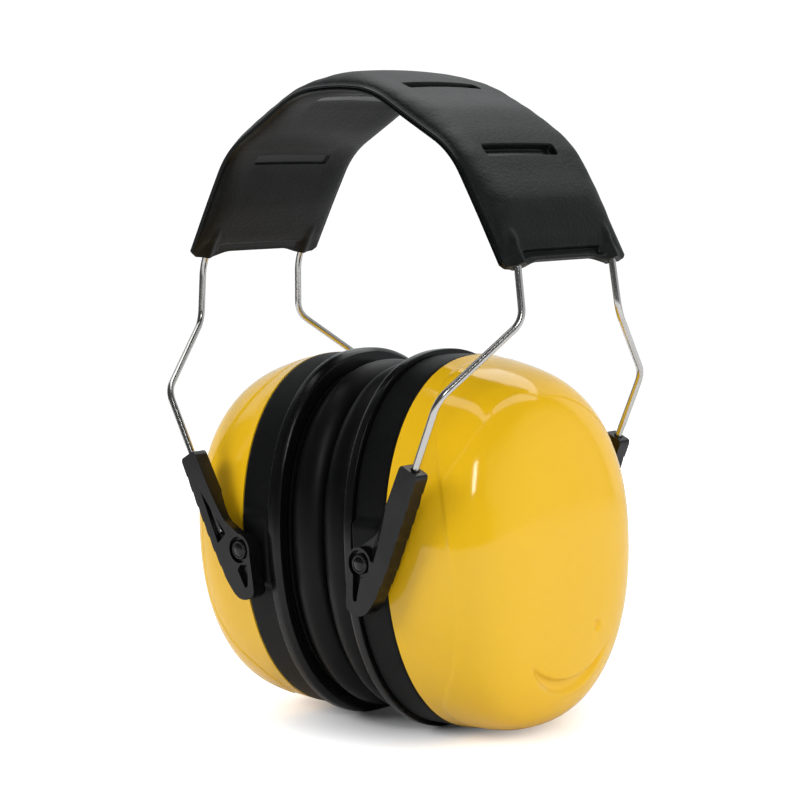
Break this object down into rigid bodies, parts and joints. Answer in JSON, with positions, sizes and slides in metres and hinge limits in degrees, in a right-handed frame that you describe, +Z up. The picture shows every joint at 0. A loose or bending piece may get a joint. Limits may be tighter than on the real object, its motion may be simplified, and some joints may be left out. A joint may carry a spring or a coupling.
{
  "type": "hearing protection earmuffs",
  "caption": "Over-head hearing protection earmuffs with double-shell ear cups, soft ear cushions, pivoting arms on sprung wires and a padded headband",
  "frame": {"origin": "on the floor, under the middle of the muffs, between the two cups", "axes": "+X from the left cup to the right cup, -Y to the front, +Z up to the headband"},
  "size_m": [0.1456, 0.1012, 0.2089],
  "materials": {
    "yellow_shell": "glossy warm yellow injection-moulded plastic",
    "matte_black": "fine-textured matte black plastic",
    "gloss_black": "smooth semi-gloss black plastic",
    "cushion_vinyl": "smooth satin black vinyl skin",
    "leatherette": "fine-grained black leatherette, welded at its edges",
    "grey_foam": "open-cell charcoal foam",
    "spring_wire": "bright drawn stainless spring wire"
  },
  "bodies": {
    "headband_left": {"wire_front_left": "spring_wire", "wire_rear_left": "spring_wire", "pad_cover_upper_left": "leatherette", "pad_cover_lower_left": "leatherette", "pad_foam_left": "grey_foam"},
    "headband_right": {"wire_front_right": "spring_wire", "wire_rear_right": "spring_wire", "pad_cover_upper_right": "leatherette", "pad_cover_lower_right": "leatherette", "pad_foam_right": "grey_foam"},
    "arm_front_right": {"arm_front_right": "gloss_black"},
    "arm_rear_right": {"arm_rear_right": "gloss_black"},
    "cup_right": {"outer_shell_right": "yellow_shell", "spacer_foam_right": "grey_foam", "inner_cup_right": "matte_black", "absorber_foam_right": "grey_foam", "rim_ring_right": "gloss_black", "cushion_plate_right": "matte_black", "cushion_foam_right": "grey_foam", "cushion_skin_right": "cushion_vinyl", "pivot_pin_front_right": "gloss_black", "pivot_pin_rear_right": "gloss_black"},
    "arm_front_left": {"arm_front_left": "gloss_black"},
    "arm_rear_left": {"arm_rear_left": "gloss_black"},
    "cup_left": {"outer_shell_left": "yellow_shell", "spacer_foam_left": "grey_foam", "inner_cup_left": "matte_black", "absorber_foam_left": "grey_foam", "rim_ring_left": "gloss_black", "cushion_plate_left": "matte_black", "cushion_foam_left": "grey_foam", "cushion_skin_left": "cushion_vinyl", "pivot_pin_front_left": "gloss_black", "pivot_pin_rear_left": "gloss_black"}
  },
  "joints": [
    {"name": "band_spread", "type": "hinge", "parent": "headband_left", "child": "headband_right", "pos_m": [0, 0, 0.2093], "axis": [0, -1, 0], "range_deg": [0, 60], "stiffness_Nm_per_rad": 1.9, "springref_deg": -8.59},
    {"name": "height_front_right", "type": "slide", "parent": "headband_right", "child": "arm_front_right", "axis": [0.443, 0, 0.8965], "range_m": [0, 0.016]},
    {"name": "height_rear_right", "type": "slide", "parent": "headband_right", "child": "arm_rear_right", "axis": [0.443, 0, 0.8965], "range_m": [0, 0.016]},
    {"name": "cup_tilt_right", "type": "hinge", "parent": "arm_front_right", "child": "cup_right", "pos_m": [0.02734, 0, 0.06034], "axis": [0, -1, 0], "range_deg": [-30, 30]},
    {"name": "height_front_left", "type": "slide", "parent": "headband_left", "child": "arm_front_left", "axis": [-0.443, 0, 0.8965], "range_m": [0, 0.016]},
    {"name": "height_rear_left", "type": "slide", "parent": "headband_left", "child": "arm_rear_left", "axis": [-0.443, 0, 0.8965], "range_m": [0, 0.016]},
    {"name": "cup_tilt_left", "type": "hinge", "parent": "arm_front_left", "child": "cup_left", "pos_m": [-0.02734, 0, 0.06034], "axis": [0, 1, 0], "range_deg": [-30, 30]}
  ],
  "couplings": [
    {"joint": "height_rear_right", "follows": "height_front_right", "ratio": 1},
    {"joint": "cup_tilt_right", "follows": "band_spread", "ratio": -0.5},
    {"joint": "height_rear_left", "follows": "height_front_left", "ratio": 1},
    {"joint": "cup_tilt_left", "follows": "band_spread", "ratio": -0.5}
  ]
}
